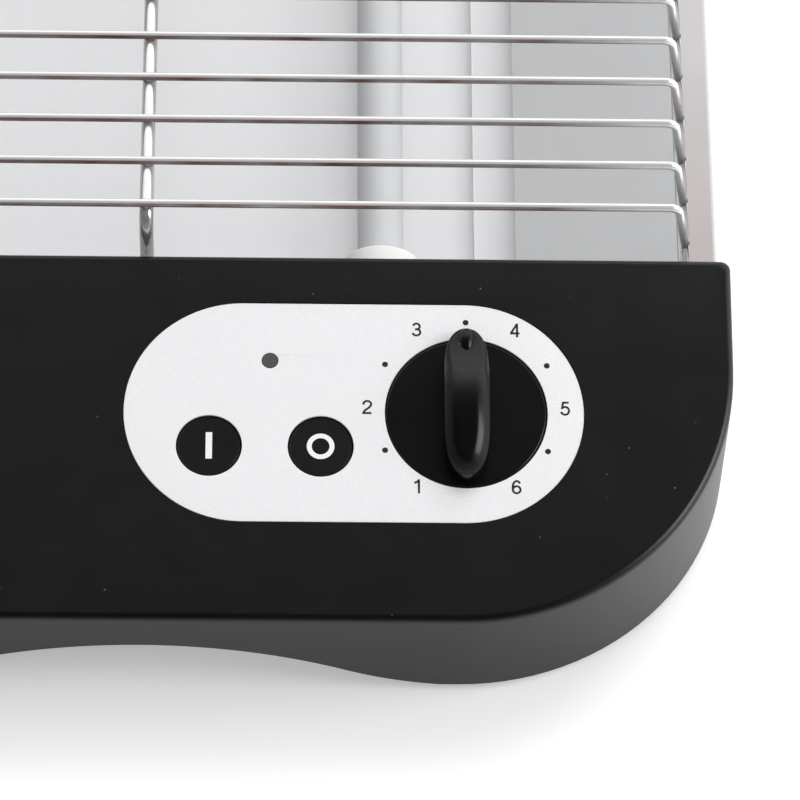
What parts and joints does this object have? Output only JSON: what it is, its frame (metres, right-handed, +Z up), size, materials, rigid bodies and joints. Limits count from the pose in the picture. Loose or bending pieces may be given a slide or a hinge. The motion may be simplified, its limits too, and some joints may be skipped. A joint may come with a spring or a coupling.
{
  "type": "horizontal toaster",
  "caption": "Flatbed toaster with a chrome wire rack over quartz heating tubes in a steel trough, a sloping control end with timer knob and push buttons, and a pull-out crumb tray.",
  "frame": {"origin": "middle of the footprint, on the table under the rubber feet", "axes": "+X to the right of a user at the control end, +Y along the toaster away from the control end, +Z up"},
  "size_m": [0.25, 0.388, 0.0517],
  "materials": {
    "housing_black": "satin moulded black",
    "base_black": "matte moulded black",
    "panel_silver": "fine satin silver",
    "knob_black": "satin moulded black",
    "shaft_steel": "turned steel",
    "button_black": "satin moulded black",
    "plunger_red": "moulded",
    "component_black": "moulded",
    "component_blue": "moulded",
    "component_yellow": "moulded",
    "terminal_green": "moulded",
    "lens_grey": "smoked clear",
    "led_red": "tinted clear",
    "board_green": "solder mask",
    "screw_steel": "zinc plated",
    "ceramic_white": "unglazed white",
    "gland_black": "matte",
    "trough_steel": "bright rolled stainless",
    "reflector_steel": "polished",
    "tray_steel": "polished",
    "quartz_milky": "milky quartz",
    "resistance_wire": "oxidised",
    "terminal_brass": "plain",
    "rack_chrome": "bright chrome",
    "foot_rubber": "matte",
    "lead_red": "silicone sleeve"
  },
  "bodies": {
    "toaster": {"control_housing": "housing_black", "control_base": "base_black", "control_panel": "panel_silver", "timer_potentiometer": "component_blue", "start_switch": "component_black", "stop_switch": "component_black", "indicator_lens": "lens_grey", "indicator_led": "led_red", "control_board": "board_green", "power_relay": "component_blue", "suppression_capacitor": "component_yellow", "terminal_block": "terminal_green", "board_screws": "screw_steel", "thermal_cutout": "ceramic_white", "cord_gland": "gland_black", "rear_housing": "housing_black", "rear_base": "base_black", "left_side_panel": "trough_steel", "right_side_panel": "trough_steel", "bottom_plate": "reflector_steel", "front_end_plate": "reflector_steel", "rear_end_plate": "reflector_steel", "left_reflector": "reflector_steel", "right_reflector": "reflector_steel", "left_quartz_tube": "quartz_milky", "right_quartz_tube": "quartz_milky", "left_heating_coil": "resistance_wire", "right_heating_coil": "resistance_wire", "front_left_cap": "ceramic_white", "front_right_cap": "ceramic_white", "rear_left_cap": "ceramic_white", "rear_right_cap": "ceramic_white", "front_terminals": "terminal_brass", "rear_terminals": "terminal_brass", "rack_wires": "rack_chrome", "rack_rod": "rack_chrome", "rubber_feet": "foot_rubber", "base_screws": "screw_steel", "body_screws": "screw_steel", "front_leads": "lead_red", "rear_jumper": "lead_red"},
    "timer": {"timer_knob": "knob_black", "timer_shaft": "shaft_steel"},
    "start": {"start_button": "button_black", "start_plunger": "plunger_red"},
    "stop": {"stop_button": "button_black", "stop_plunger": "plunger_red"},
    "tray": {"crumb_tray": "tray_steel"}
  },
  "joints": [
    {"name": "timer_turn", "type": "hinge", "parent": "toaster", "child": "timer", "pos_m": [0.0681, -0.14714, 0.03608], "axis": [0, -0.1392, 0.9903], "range_deg": [-150, 150]},
    {"name": "start_press", "type": "slide", "parent": "toaster", "child": "start", "axis": [0, 0.1392, -0.9903], "range_m": [0, 0.001], "stiffness_N_per_m": 900},
    {"name": "stop_press", "type": "slide", "parent": "toaster", "child": "stop", "axis": [0, 0.1392, -0.9903], "range_m": [0, 0.001], "stiffness_N_per_m": 900},
    {"name": "tray_slide", "type": "slide", "parent": "toaster", "child": "tray", "axis": [-1, 0, 0], "range_m": [0, 0.2]}
  ]
}
